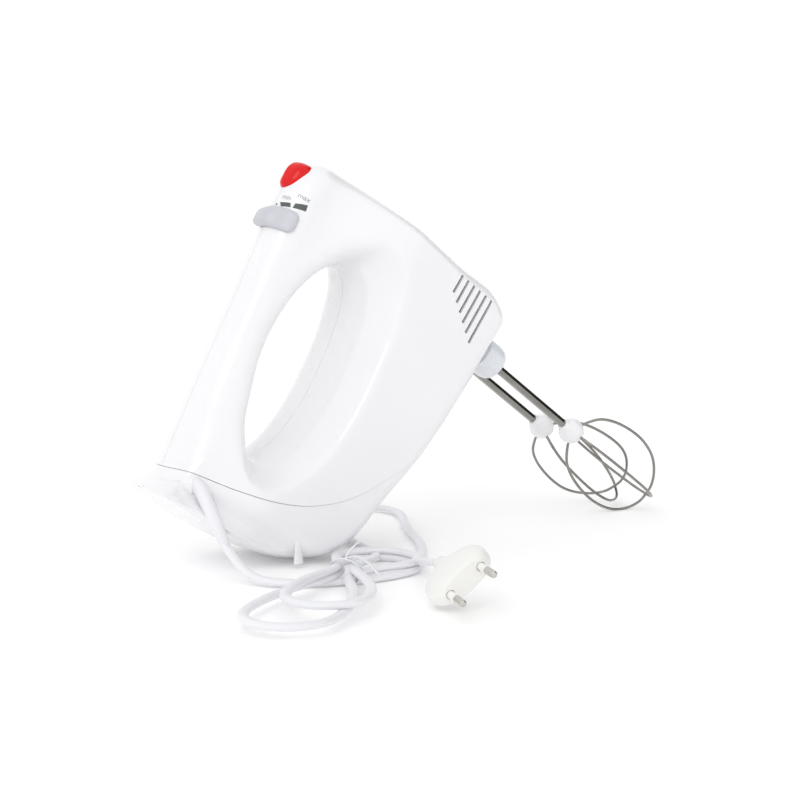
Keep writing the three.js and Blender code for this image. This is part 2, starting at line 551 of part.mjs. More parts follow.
// ---- mains cord: strain relief, leads, hank and flat two-pin plug ---------------------
add('strain_relief', taperedTube(BOOT_PATH, 4.9, 3.3, 16, 12), WHITE, group);
add('cord_lead', taperedTube(LEAD_PATH, CORD_RADIUS, CORD_RADIUS, 8, 8), WHITE, group);
add('cord_tail', taperedTube(TAIL_PATH, CORD_RADIUS, CORD_RADIUS, 34, 8), WHITE, group);
const hankCurve = new THREE.CatmullRomCurve3(HANK.outline.map(([x, y]) => vec(x, y, 0)), true, 'centripetal');
const hankPoints = hankCurve.getPoints(30).slice(0, -1);
const hankShape = new THREE.Shape(hankPoints.map((p) => new THREE.Vector2(p.x, p.y)));
add('cord_hank', slabZ(hankShape, 0.2, HANK.height), WHITE, group);

const plug = new THREE.Group();
plug.position.set(...PLUG.at);
plug.rotation.set(0, 0, radians(PLUG.turn));
const plugRoll = new THREE.Group();
plugRoll.rotation.x = radians(PLUG.roll);
plug.add(plugRoll);
group.add(plug);
// plan of the flat plug along its own x, from the cord's neck to the pin face
const plugPlan = new THREE.Shape();
plugPlan.moveTo(0, -3.6);
plugPlan.lineTo(8, -4.4);
plugPlan.bezierCurveTo(14, -6, 16, -17.5, 26, -17.5);
plugPlan.bezierCurveTo(33, -17.5, 37, -14, 38, -9);
plugPlan.lineTo(38, 9);
plugPlan.bezierCurveTo(37, 14, 33, 17.5, 26, 17.5);
plugPlan.bezierCurveTo(16, 17.5, 14, 6, 8, 4.4);
plugPlan.lineTo(0, 3.6);
const plugBody = new THREE.ExtrudeGeometry(plugPlan,
  { depth: 8.6, bevelThickness: 2.4, bevelSize: 2, bevelOffset: -2, bevelSegments: 2, curveSegments: 6 });
plugBody.translate(0, 0, -4.3);
const pinSockets = [-1, 1].map((side) =>
  toManifold(cylinderX(2.3, 33, 60, side * PLUG.pinSpacing / 2, 0, 14)));
add('plug_body', toGeometry(toManifold(plugBody).subtract(joined(pinSockets))), WHITE, plugRoll);
[['left', 1], ['right', -1]].forEach(([name, side]) => {
  add(`plug_pin_${name}`, cylinderX(2, 33.4, 56, side * PLUG.pinSpacing / 2, 0, 14), STEEL, plugRoll);
});

export default group;
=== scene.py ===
"""Looks for the hand mixer: fine shells, whisks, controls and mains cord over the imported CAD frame.

The mixer is drawn in its own frame, in millimetres (x forward, y across, z up to the handle),
and place() leans it into the row frame, in metres.
"""
import json
import math

import bmesh
import bpy
import numpy as np
from mathutils import Matrix, Vector
from mathutils.bvhtree import BVHTree


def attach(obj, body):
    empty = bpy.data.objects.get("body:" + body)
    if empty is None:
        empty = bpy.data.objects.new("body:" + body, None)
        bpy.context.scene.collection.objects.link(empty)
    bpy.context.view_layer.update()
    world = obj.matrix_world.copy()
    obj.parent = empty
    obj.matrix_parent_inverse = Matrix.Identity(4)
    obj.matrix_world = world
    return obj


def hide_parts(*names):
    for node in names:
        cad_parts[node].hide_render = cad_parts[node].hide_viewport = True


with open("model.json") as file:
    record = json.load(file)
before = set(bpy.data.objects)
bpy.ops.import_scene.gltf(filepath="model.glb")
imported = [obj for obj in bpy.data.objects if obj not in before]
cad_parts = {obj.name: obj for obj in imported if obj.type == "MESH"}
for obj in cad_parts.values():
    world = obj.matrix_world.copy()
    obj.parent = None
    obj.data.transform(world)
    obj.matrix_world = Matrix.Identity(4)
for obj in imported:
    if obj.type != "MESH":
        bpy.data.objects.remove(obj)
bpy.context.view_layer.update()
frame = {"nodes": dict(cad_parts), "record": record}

# ---- driving dimensions, mm ----------------------------------------------------------
MM = 0.001
LEAN = math.radians(35.3)
PLACE = (-80.58, -1.38)
WALL = 2.5
HANDLE_HALF, BODY_HALF = 17.0, 39.0
SPINDLE_X, SPINDLE_Y = 154.0, 14.0
SEAM_GAP = 0.12
STEP_IN = 0.5                       # the lower cover sits this far inside the upper shells
OPENING_LIP, DISH_LIP = 3.0, 3.4    # the rounded strips beside the finger opening
VENT = {"count": 6, "top": 21.0, "pitch": 5.0, "rear": 162.0, "step": 3.4, "front": 173.5, "half": 0.9}
# the black sheet behind the vents, painted shade for the housing's dark inside
VENT_SHADE_SHEET = {"x": (140, 172), "y": (33.4, 34.2), "z": (-9, 25)}
PORT_RADIUS = 9.0
LEVER_SLOT = ((138.5, 146.5), (-13, 2.5), (108, 130))
SCREW_HOLE = {"radius": 3.5, "deep": 9.0}
WHISK = {"top": -126.0, "tip": -199.0, "radius": 25.0, "wire": 0.85, "ball": -119.5, "ball_radius": 7.8,
         "nest": 2.2, "swell": 55.0}
SHAFT_BEVEL = 0.00035               # metres, on the CAD's own beater shafts

# The selector is a band on the handle's top: its middle (x, z), its slope and its arc in
# degrees, its radii, and its thumb rest's height, middle and half sizes.
SADDLE = {"x": 142.6, "z": 104.2, "slope": 5.5, "inner": 18.3, "outer": 19.9, "half": 6.1,
          "from": -62, "to": 30, "corner": 0.42, "border": 1.7, "end": 14.0,
          "thumb": 3.3, "thumb_y": 1.5, "thumb_half_y": 8.6, "thumb_x": -1.6, "thumb_half_x": 5.6}
BUTTON = {"rear": 158.2, "front": 177.4, "half": 10.6, "base": 113.8, "round": 0.66, "under": 2.2,
          "crest": 0.7, "crest_half": 1.3}
# The button's top, from above its base: (x, height).
BUTTON_TOP = [(158.2, 6), (159, 9.6), (161, 12.0), (165.8, 12.6), (171, 12.5), (174.8, 10.6), (177.4, 5)]

CORD_WIDTH, CORD_HEIGHT = 5.4, 3.9
CORD_POINTS, CORD_ROUNDINGS = 760, 60
BOSS_WIDTH, BOSS_HEIGHT = 13.0, 12.6
BOOT_WIDTH = 9.2
TIE_WIDTH, TIE_THICKNESS = 3.0, 1.0

# Side view of the housing: point on the finger opening, point on the outer outline,
# edge radius at the opening, edge radius at the outline, inset of the inside.
STATIONS = np.array([
    [30, 70, 2, 101, 14, 13, 3], [40, 77, 18, 103.5, 14, 14, 3], [55, 82, 45, 108, 14, 14, 3],
    [75, 87.6, 75, 112, 14, 14, 3], [95, 89.6, 103, 116, 14, 15, 3], [113, 88.4, 128, 120, 14, 17, 3],
    [127, 84.8, 148, 122.5, 15, 17, 3], [136.5, 79.8, 168, 122.5, 17, 14, 3],
    [141.4, 74.6, 180, 115, 19, 12, 3.4],
    [142.4, 69.4, 184, 95, 20, 11, 3], [140.4, 65, 184.5, 60, 19, 11, 3], [135, 60.5, 184, 20, 16, 12, 3],
    [130, 58, 184.5, -8, 14, 12, 3], [122, 55, 175, -26, 13, 14, 3.6], [110, 52, 148, -28, 13, 16, 3],
    [95, 49.5, 110, -27, 12, 16, 3], [80, 48, 75, -23, 12, 15, 3], [65, 48, 45, -15.5, 12, 14, 3],
    [52, 49.5, 18, -9, 12, 12, 3], [42, 52, 1, 2, 12, 10, 3.4], [35, 55, -9, 17, 12, 8, 3.4],
    [30, 58, -14.5, 35, 13, 5, 4], [27, 61, -17.6, 58, 14, 4, 5], [26, 64, -18.4, 92, 14, 4, 6],
    [26.5, 66, -18.6, 105, 14, 4, 15], [28, 68, -8, 99.5, 14, 8, 7]], float)
HEEL_FACE = -16.6
SEAM = [(-3, 103.5), (1, 95), (5, 72), (11, 50), (20, 31), (34, 14), (55, -1), (80, -13), (104, -19),
        (132, -20.5), (139, -23)]
SCREWS = [(14, 92), (154, 96), (172, -14), (31, 38)]

# The cord, in millimetres of the row frame: the boss it leaves, the strain relief, the lead,
# the hank's turns, and the tail to the plug.
BOSS = [(-161, -3, 48.6), (-158, -10.6, 48), (-152.4, -20, 46.4)]
BOOT = [(-156, -14, 50.5), (-152.8, -21, 46.8), (-151.4, -28, 38.2), (-148.9, -32.6, 28.6),
        (-144.9, -33.8, 18.3)]
LEAD = [(-144.8, -34, 18), (-143.5, -39, 12), (-142, -46, 6.5), (-140.5, -54, 3.6), (-139, -61.5, 3.0)]
TAIL = [(-58, -41, 3.0), (-53, -22, 3.0), (-47, 8, 3.0), (-39, 42, 3.0), (-24, 72, 3.0),
        (2, 86, 3.0), (24, 72, 3.0), (20, 46, 3.0), (4, 20, 3.0), (-9, -6, 3.0), (-20, -30, 3.0),
        (-32, -48, 3.0), (-46, -66, 3.6), (-59, -84, 7.0), (-68.6, -103, 12.0), (-73.8, -119.2, 14.9)]
# Each turn of the hank leaves the tie, goes round its far fold, comes back through the tie and
# goes round its near fold. A row is the far fold's middle and width, the near fold's, and the
# heights at which the turn goes out and comes back.
TIE = (-102.0, -80.0)
TURNS = [((-146, -96), 40, (-72, -62), 49, 2.2, 2.4), ((-164, -132), 46, (-72, -62), 50, 5.6, 6.0),
         ((-140, -124), 42, (-72, -62), 49, 9.2, 9.0)]
HANK_EXIT = (-72, -62, 6.6)
TIE_SPREAD = 3.0                    # how far each pass lies to one side of the tie's middle
FAR_SWELL = 0.38                    # half the turn's width, halfway out, as a share of the far fold's
FAR_ARC, NEAR_ARC = 60, 76          # degrees to either side of a fold's end
PLUG_AT, PLUG_TURN, PLUG_ROLL, PIN_PITCH = (-75, -123, 15.6), -108.0, 40.0, 19.0
PLUG_LENGTH, PLUG_SQUARENESS = 38, 2.9
SOCKET = [(34, 2.25), (60, 2.25)]
SLEEVE = [(34.2, 1.98), (45.6, 1.98), (46, 1.8)]
PIN = [(46, 1.84), (53.2, 1.84), (54.6, 1.7), (55.4, 1.3), (55.8, 0.7)]

# The camera, in metres and degrees; how bright the white sky is, and its one dark flag.
CAMERA = {"at": (-0.4702, -0.6582, 0.1658), "down": 6.08, "right": 34.78, "lens": 63.0, "sensor": 36.0}
SKY, FLAG = 1.05, {"toward": (0.86, -0.06, 0.5), "edge": (0.84, 0.93), "strength": 0.06}
FLOOR_HALF, FLOOR_GLOW = 3, 0.09


# ---- frames --------------------------------------------------------------------------
def place(points):
    """Mixer-frame millimetres to row-frame metres."""
    p = np.asarray(points, float).reshape(-1, 3)
    s, c = math.sin(LEAN), math.cos(LEAN)
    return np.column_stack([p[:, 0] * s - p[:, 2] * c + PLACE[0], p[:, 1],
                            p[:, 0] * c + p[:, 2] * s + PLACE[1]]) * MM


def mesh_object(name, points, faces, smooth_below=35.0):
    mesh = bpy.data.meshes.new(name)
    mesh.from_pydata([tuple(p) for p in points], [], [tuple(f) for f in faces])
    mesh.update()
    piece = bpy.data.objects.new(name, mesh)
    bpy.context.scene.collection.objects.link(piece)
    shade(piece, smooth_below)
    return piece


def shade(piece, smooth_below=35.0):
    piece.data.shade_smooth()
    piece.data.set_sharp_from_angle(angle=math.radians(smooth_below))


def face_outward(piece):
    """Turns every face of a closed mesh outward."""
    work = bmesh.new()
    work.from_mesh(piece.data)
    bmesh.ops.recalc_face_normals(work, faces=work.faces)
    work.to_mesh(piece.data)
    work.free()


def baked(piece):
    """Replaces the mesh by what its modifiers make."""
    graph = bpy.context.evaluated_depsgraph_get()
    made = bpy.data.meshes.new_from_object(piece.evaluated_get(graph))
    piece.modifiers.clear()
    piece.data = made
    return piece


def combine(piece, operation, *tools):
    """Joins, cuts or intersects with closed tools, which are then removed."""
    for tool in tools:
        step = piece.modifiers.new("combine", "BOOLEAN")
        step.operation, step.solver, step.object = operation, "MANIFOLD", tool
    baked(piece)
    for tool in tools:
        bpy.data.objects.remove(tool)
    return piece


def copied(piece, name):
    """A second piece with a mesh of its own."""
    twin = piece.copy()
    twin.data = piece.data.copy()
    twin.name = name
    bpy.context.scene.collection.objects.link(twin)
    return twin


def largest(piece):
    """Keeps only the biggest connected part of a mesh."""
    work = bmesh.new()
    work.from_mesh(piece.data)
    unseen, islands = set(work.verts), []
    while unseen:
        island, front = set(), [unseen.pop()]
        while front:
            v = front.pop()
            island.add(v)
            for e in v.link_edges:
                w = e.other_vert(v)
                if w in unseen:
                    unseen.discard(w)
                    front.append(w)
        islands.append(island)
    islands.sort(key=len)
    for island in islands[:-1]:
        bmesh.ops.delete(work, geom=list(island), context="VERTS")
    work.to_mesh(piece.data)
    work.free()
    return piece


# ---- shapes --------------------------------------------------------------------------
def span(a, b, c, d, t):
    """The part from b to c of the centripetal Catmull-Rom curve through a, b, c and d."""
    ta, tb, tc = (max(1e-6, np.linalg.norm(q)) ** 0.5 for q in (b - a, c - b, d - c))
    m1 = ((b - a) / ta - (c - a) / (ta + tb) + (c - b) / tb) * tb
    m2 = ((c - b) / tb - (d - b) / (tb + tc) + (d - c) / tc) * tb
    return ((2 * t ** 3 - 3 * t ** 2 + 1) * b + (t ** 3 - 2 * t ** 2 + t) * m1
            + (3 * t ** 2 - 2 * t ** 3) * c + (t ** 3 - t ** 2) * m2)


def spline(points, count, closed=False):
    """count points, evenly spaced, on a smooth curve through the given ones."""
    p = np.asarray(points, float)
    if closed:
        p = np.vstack([p[-1], p, p[0], p[1]])
    else:
        p = np.vstack([2 * p[0] - p[1], p, 2 * p[-1] - p[-2]])
    t = np.linspace(0, 1, 24, endpoint=False)[:, None]
    fine = np.vstack([span(*p[i - 1:i + 3], t) for i in range(1, len(p) - 2)] + [p[-2]])
    along = np.concatenate([[0], np.cumsum(np.linalg.norm(np.diff(fine, axis=0), axis=1))])
    at = np.linspace(0, along[-1], count + 1 if closed else count)
    if closed:
        at = at[:-1]
    return np.column_stack([np.interp(at, along, fine[:, k]) for k in range(fine.shape[1])])


def station_curve(points, per_station):
    """The closed curve through the stations, per_station points from each to the next."""
    p, n = np.asarray(points, float), len(points)
    t = np.arange(per_station)[:, None] / per_station
    return np.vstack([span(p[i - 1], p[i], p[(i + 1) % n], p[(i + 2) % n], t) for i in range(n)])


def smooth(t):
    """0 to 1 with level ends."""
    t = np.clip(t, 0, 1)
    return t * t * (3 - 2 * t)


def edge(distance, radius, power):
    """A rounded edge's height: 0 at its border and 1 from radius inward."""
    t = np.clip(distance / radius, 0, 1)
    return (1 - (1 - t) ** power) ** (1 / power)


def distance_to(polyline, points):
    """How far each point is from a closed polyline."""
    best = np.full(len(points), 1e9)
    for a, b in zip(polyline, np.roll(polyline, -1, axis=0)):
        d = b - a
        t = np.clip(((points - a) @ d) / (d @ d), 0, 1)[:, None]
        best = np.minimum(best, np.linalg.norm(points - a - t * d, axis=1))
    return best


def full_half_width(x, z):
    """Half the housing's width in mid-side: narrow at the handle, waisted at the tail, wide at the foot."""
    low = smooth((106 - z) / 56)
    waist = 6 * np.exp(-((x + 7) / 6) ** 2) * low
    foot = 8 * smooth((-x - 8) / 8) * (1 - low)
    return HANDLE_HALF + (BODY_HALF - HANDLE_HALF) * low - waist + foot


def skin(name, openings, outlines, per_station, zones, thinner, dished):
    """The closed housing skin, as rings from the finger opening out to the outline.

    zones are the numbers of rows in the lip, the side and the outer edge.
    """
    a, b = station_curve(openings, per_station), station_curve(outlines, per_station)
    inner = station_curve(openings, 8)
    outer = station_curve(outlines, 8)
    u = np.arange(len(a)) / per_station
    low, part = u.astype(int), (u % 1)[:, None]
    widths = STATIONS[low] * (1 - part) + STATIONS[(low + 1) % len(STATIONS)] * part
    lip, rim = widths[:, 4], widths[:, 5]
    length = np.linalg.norm(b - a, axis=1)
    z1 = np.minimum(lip + OPENING_LIP, 0.48 * length)
    z3 = np.minimum(rim, 0.45 * length)
    n1, n2, n3 = zones
    rows = [z1 * (k / n1) ** 1.5 for k in range(n1)]
    rows += [z1 + (length - z1 - z3) * k / n2 for k in range(n2)]
    rows += [length - z3 * (1 - k / n3) ** 2 for k in range(n3 + 1)]
    rho = np.array(rows).T / length[:, None]
    flat = (a[:, None] * (1 - rho[..., None]) + b[:, None] * rho[..., None]).reshape(-1, 2)
    x, z = flat.T
    across = rho.shape[1]
    radius_in, radius_out = np.repeat(lip, across), np.repeat(rim, across)
    d_in = distance_to(inner, flat)
    from_opening = edge(d_in, radius_in, 1.5 + 0.5 * smooth((z - 66) / 16))
    if dished:
        # below the handle the opening is dished: a short lip, a slope, and a soft crease
        short = radius_in - d_in
        slope = 1 - (np.sqrt(short ** 2 + 1.8) + short) / 2 / radius_in
        bowl = edge(d_in, DISH_LIP, 2) * np.clip(0.44 + 0.56 * slope, 0, 1)
        handle = smooth((z - 62) / 14)
        from_opening = bowl * (1 - handle) + from_opening * handle
    from_outline = edge(distance_to(outer, flat), radius_out, 2.1)
    half = ((full_half_width(x, z) - thinner) * from_opening * from_outline).reshape(-1, across)
    half[:, 0] = half[:, -1] = 0
    flat = flat.reshape(-1, across, 2)
    near = np.dstack([flat[..., 0], half, flat[..., 1]])
    far = near[:, -2:0:-1] * (1, -1, 1)
    rings = np.concatenate([near, far], axis=1)
    return grid(name, place(rings.reshape(-1, 3)), len(a), rings.shape[1], True, True)


def grid(name, points, across, along, close_across, close_along, caps=False):
    """A quad sheet of across x along points, wrapped either way."""
    faces = []
    for i in range(across if close_across else across - 1):
        for j in range(along if close_along else along - 1):
            p, q = i * along + j, i * along + (j + 1) % along
            r, s = ((i + 1) % across) * along + j, ((i + 1) % across) * along + (j + 1) % along
            faces.append((p, q, s, r))
    if caps:
        faces.append(tuple(range(along - 1, -1, -1)))
        faces.append(tuple(range((across - 1) * along, across * along)))
    piece = mesh_object(name, points, faces)
    face_outward(piece)
    shade(piece)
    return piece


def prism(name, outline, y0, y1):
    """A side-view outline (x, z) drawn out across the mixer."""
    n = len(outline)
    rings = [(x, y, z) for y in (y0, y1) for x, z in outline]
    return grid(name, place(rings), 2, n, False, True, caps=True)


def block(name, x, y, z):
    """A box over three (from, to) ranges of the mixer's frame."""
    return prism(name, [(x[0], z[0]), (x[1], z[0]), (x[1], z[1]), (x[0], z[1])], *y)


def lathe(name, profile, centre, axis="z", sides=48):
    """A closed (radius, height) profile turned about a mixer axis through centre."""
    rings = []
    for k in range(sides):
        t = 2 * math.pi * k / sides
        for r, h in profile:
            c, s = r * math.cos(t), r * math.sin(t)
            local = {"z": (c, s, h), "y": (c, h, s), "x": (h, c, s)}[axis]
            rings.append(tuple(o + v for o, v in zip(centre, local)))
    return grid(name, place(rings), sides, len(profile), True, True)


def solid_of_turn(name, profile, centre, axis="z", sides=48):
    """A profile that starts and ends on the axis, turned into one closed body."""
    piece = lathe(name, profile, centre, axis, sides)
    work = bmesh.new()
    work.from_mesh(piece.data)
    bmesh.ops.remove_doubles(work, verts=work.verts, dist=1e-7)
    bmesh.ops.dissolve_degenerate(work, dist=1e-8, edges=work.edges)
    axis_faces = [f for f in work.faces if f.calc_area() < 1e-14]
    bmesh.ops.delete(work, geom=axis_faces, context="FACES")
    bmesh.ops.recalc_face_normals(work, faces=work.faces)
    work.to_mesh(piece.data)
    work.free()
    shade(piece)
    return piece


def tube(name, line, width, height, sides=14, taper=None):
    """An oval tube in the row frame along a line of points in millimetres, its wide side level."""
    line = np.asarray(line, float)
    ahead = np.gradient(line, axis=0)
    ahead /= np.linalg.norm(ahead, axis=1)[:, None]
    across = np.cross(ahead, (0, 0, 1))
    for i in range(len(across)):
        if np.linalg.norm(across[i]) < 0.15:
            across[i] = across[i - 1] if i else (0, 1, 0)
    across /= np.linalg.norm(across, axis=1)[:, None]
    up = np.cross(across, ahead)
    scale = np.ones(len(line)) if taper is None else taper(np.linspace(0, 1, len(line)))
    angle = 2 * math.pi * np.arange(sides) / sides
    rings = [c + k * (width / 2 * math.cos(t) * w + height / 2 * math.sin(t) * h)
             for c, w, h, k in zip(line, across, up, scale) for t in angle]
    return grid(name, np.array(rings) * MM, len(line), sides, False, True, caps=True)


# ---- materials -----------------------------------------------------------------------
def finish_material(name, colour, roughness, metallic=0.0, coat=0.0, grain=900.0, depth=0.02,
                    mottle=0.02, sweep=0.05, subsurface=0.0, stretch=(1, 1, 1), specular=0.5):
    """A moulded or machined surface: faint colour drift, uneven gloss and a fine bump."""
    m = bpy.data.materials.new(name)
    m.use_nodes = True
    nodes, links = m.node_tree.nodes, m.node_tree.links
    shader = nodes["Principled BSDF"]
    shader.inputs["Metallic"].default_value = metallic
    shader.inputs["Coat Weight"].default_value = coat
    shader.inputs["Specular IOR Level"].default_value = specular
    shader.inputs["Coat Roughness"].default_value = 0.08
    if subsurface:
        shader.inputs["Subsurface Weight"].default_value = subsurface
        shader.inputs["Subsurface Radius"].default_value = (0.004, 0.004, 0.004)
    where = nodes.new("ShaderNodeTexCoord")
    mapping = nodes.new("ShaderNodeMapping")
    mapping.inputs["Scale"].default_value = stretch
    links.new(where.outputs["Object"], mapping.inputs["Vector"])
    broad, fine = nodes.new("ShaderNodeTexNoise"), nodes.new("ShaderNodeTexNoise")
    broad.inputs["Scale"].default_value, fine.inputs["Scale"].default_value = 22.0, grain
    broad.inputs["Detail"].default_value, fine.inputs["Detail"].default_value = 4.0, 3.0
    for noise in (broad, fine):
        links.new(mapping.outputs["Vector"], noise.inputs["Vector"])
    tint = nodes.new("ShaderNodeValToRGB")
    darker = [max(0.0, c * (1 - mottle)) for c in colour]
    tint.color_ramp.elements[0].position, tint.color_ramp.elements[1].position = 0.35, 0.65
    tint.color_ramp.elements[0].color, tint.color_ramp.elements[1].color = (*darker, 1), (*colour, 1)
    links.new(broad.outputs["Fac"], tint.inputs["Fac"])
    links.new(tint.outputs["Color"], shader.inputs["Base Color"])
    gloss = nodes.new("ShaderNodeMapRange")
    gloss.inputs["To Min"].default_value = max(0.03, roughness - sweep)
    gloss.inputs["To Max"].default_value = roughness + sweep
    links.new(fine.outputs["Fac"], gloss.inputs["Value"])
    links.new(gloss.outputs["Result"], shader.inputs["Roughness"])
    bump = nodes.new("ShaderNodeBump")
    bump.inputs["Strength"].default_value, bump.inputs["Distance"].default_value = depth, 0.001
    links.new(fine.outputs["Fac"], bump.inputs["Height"])
    links.new(bump.outputs["Normal"], shader.inputs["Normal"])
    return m


LOOKS = {
    "white_shell": finish_material("shell_white", (0.86, 0.86, 0.88), 0.2, coat=0.35, grain=1300,
                                   depth=0.012),
    "white_plug": finish_material("plug_white", (0.86, 0.855, 0.83), 0.42, grain=1700, depth=0.05),
    "white_cord": finish_material("cord_white", (0.84, 0.84, 0.87), 0.36, grain=1500, depth=0.05,
                                  mottle=0.03),
    "white_knob": finish_material("knob_white", (0.86, 0.86, 0.87), 0.2, coat=0.3, subsurface=0.15),
    "pale_collar": finish_material("collar_pale", (0.74, 0.76, 0.8), 0.28, coat=0.2, subsurface=0.3),
    "grey_selector": finish_material("selector_grey", (0.56, 0.56, 0.61), 0.33, grain=1500, depth=0.04),
    "red_button": finish_material("button_red", (0.72, 0.0, 0.002), 0.24, coat=0.12, mottle=0.1,
                                  specular=0.3),
    "beater_steel": finish_material("beater_steel", (0.3, 0.29, 0.27), 0.16, metallic=1, grain=500,
                                    depth=0.05, mottle=0.16, stretch=(1, 6, 6)),
    "nickel": finish_material("nickel", (0.62, 0.6, 0.55), 0.22, metallic=1, grain=700, mottle=0.1),
    "machine_steel": finish_material("machine_steel", (0.5, 0.5, 0.5), 0.32, metallic=1, depth=0.06,
                                     mottle=0.1),
    "lamination": finish_material("lamination", (0.13, 0.135, 0.15), 0.5, metallic=0.6, grain=800,
                                  depth=0.3, mottle=0.2, stretch=(5, 1, 5)),
    "copper_wire": finish_material("copper_wire", (0.55, 0.2, 0.07), 0.35, metallic=0.9, grain=600,
                                   depth=0.5, mottle=0.3, stretch=(1, 4, 4)),
    "brass": finish_material("brass", (0.6, 0.42, 0.17), 0.3, metallic=1, mottle=0.12),
    "black_plastic": finish_material("black_plastic", (0.02, 0.02, 0.022), 0.5, depth=0.12, mottle=0.2,
                                     specular=0.12),
    "nylon": finish_material("nylon", (0.72, 0.69, 0.6), 0.45, depth=0.06, mottle=0.05, subsurface=0.1),
}
PRINT = finish_material("print_grey", (0.09, 0.105, 0.1), 0.45, depth=0.04, mottle=0.12)
PRINT_FINE = finish_material("print_fine", (0.3, 0.31, 0.32), 0.45, depth=0.04, mottle=0.12)


def dress(piece, slot, body, *nodes):
    """Gives a piece its finish, its body and the CAD nodes that it stands for."""
    piece.data.materials.clear()
    piece.data.materials.append(LOOKS[slot])
    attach(piece, body)
    if nodes:
        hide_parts(*nodes)
    return piece


for entry in frame["record"]["subparts"]:
    node = frame["nodes"].get(entry["node"])
    if node is not None:
        node.data.materials.clear()
        node.data.materials.append(LOOKS[entry["material_slot"]])

# ---- camera --------------------------------------------------------------------------
camera = bpy.data.objects.new("camera", bpy.data.cameras.new("camera"))
bpy.context.scene.collection.objects.link(camera)
camera.location = CAMERA["at"]
camera.rotation_euler = (math.radians(90 - CAMERA["down"]), 0, math.radians(-CAMERA["right"]))
camera.data.lens, camera.data.sensor_width = CAMERA["lens"], CAMERA["sensor"]
bpy.context.scene.camera = camera


# ---- mains cord ----------------------------------------------------------------------
def hank_turn(far, far_width, near, near_width, low, high):
    """One turn: out of the tie, round the far fold, back through the tie, and round the near fold."""
    tie, far, near = np.array(TIE), np.array(far, float), np.array(near, float)
    ahead = (far - tie) / np.linalg.norm(far - tie)
    side = np.array([ahead[1], -ahead[0]])
    beyond = (near - tie) / np.linalg.norm(near - tie)
    across = np.array([-beyond[1], beyond[0]])
    half_way, swell = (tie + far) / 2, side * far_width * FAR_SWELL
    route = [(*(tie + side * TIE_SPREAD), low), (*(half_way + swell), low)]
    for t in np.radians([FAR_ARC, 0, -FAR_ARC]):
        route.append((*(far + (ahead * math.cos(t) + side * math.sin(t)) * far_width / 2), low))
    route += [(*(half_way - swell), high), (*(tie - side * TIE_SPREAD), high)]
    for t in np.radians([-NEAR_ARC, 0, NEAR_ARC]):
        route.append((*(near + (beyond * math.cos(t) + across * math.sin(t)) * near_width / 2), high))
    return route


# The lead goes straight into the tie, where the first turn comes back (its seventh point), and
# the last turn leaves out its near fold (three points).
turns = [p for turn in TURNS for p in hank_turn(*turn)]
cord_line = spline(LEAD + turns[6:-3] + [HANK_EXIT] + TAIL, CORD_POINTS)
# A stiff cord takes its corners wide.
for _ in range(CORD_ROUNDINGS):
    cord_line[1:-1] = (cord_line[:-2] + 2 * cord_line[1:-1] + cord_line[2:]) / 4
cord = tube("mains_cord", cord_line, CORD_WIDTH, CORD_HEIGHT)
dress(cord, "white_cord", "housing", "cord_lead", "cord_hank", "cord_tail")



def boss_taper(t):
    """Slightly narrower outward, with the last stretch rounded in."""
    return 1 - 0.07 * t - 0.22 * np.clip((t - 0.93) / 0.07, 0, 1) ** 2


boss = tube("cord_boss", spline(BOSS, 30), BOSS_WIDTH, BOSS_HEIGHT, 36, boss_taper)
dress(boss, "white_shell", "housing")
boot = tube("strain_relief_look", spline(BOOT, 70), BOOT_WIDTH, BOOT_WIDTH, 28, lambda t: 0.9 - 0.27 * t)
dress(boot, "white_cord", "housing", "strain_relief")


# ---- plug ----------------------------------------------------------------------------
def plug_place(points):
    """From the plug's own frame, with x from its cord to its pins, to row-frame metres."""
    turn = Matrix.Rotation(math.radians(PLUG_TURN), 3, "Z")
    turn = turn @ Matrix.Rotation(math.radians(PLUG_ROLL), 3, "X")
    return np.array([(turn @ Vector(p)) + Vector(PLUG_AT) for p in points]) * MM


def plug_body():
    """A flat body from the cord's neck to the pin face, its sides rounded over."""
    places = np.array([0, 0.6, 3, 6, 9, 12, 14, 15.5, 17, 19, 21.5, 26, 30, 33.5, 36, 37.4, 38])
    wide = np.array([2.6, 3.4, 3.8, 4.1, 4.6, 5.2, 7.0, 10.2, 13.2, 15.6, 17, 17.5, 17.2, 15.9, 14.2,
                     12.6, 11.0])
    thick = np.array([2.8, 3.5, 3.9, 4.2, 4.8, 5.4, 5.9, 6.2, 6.4, 6.6, 6.7, 6.7, 6.7, 6.5, 6.2, 5.7, 4.8])
    x = np.linspace(0, PLUG_LENGTH, 60)
    w, h = np.interp(x, places, wide), np.interp(x, places, thick)
    w, h = (np.convolve(np.pad(v, 2, "edge"), [.1, .2, .4, .2, .1], "valid") for v in (w, h))
    angle = 2 * math.pi * np.arange(48) / 48
    rings, p = [], 2 / PLUG_SQUARENESS
    for a, b, c in zip(x, w, h):
        for t in angle:
            rings.append((a, b * np.sign(math.cos(t)) * abs(math.cos(t)) ** p,
                          c * np.sign(math.sin(t)) * abs(math.sin(t)) ** p))
    return grid("plug_look", plug_place(rings), len(x), 48, False, True, caps=True)


def plug_turned(name, profile, y, sides=32):
    """An (x, radius) profile turned about a line along the plug, y to one side of its middle."""
    rings = [(h, y + r * math.cos(2 * math.pi * k / sides), r * math.sin(2 * math.pi * k / sides))
             for h, r in profile for k in range(sides)]
    return grid(name, plug_place(rings), len(profile), sides, False, True, caps=True)


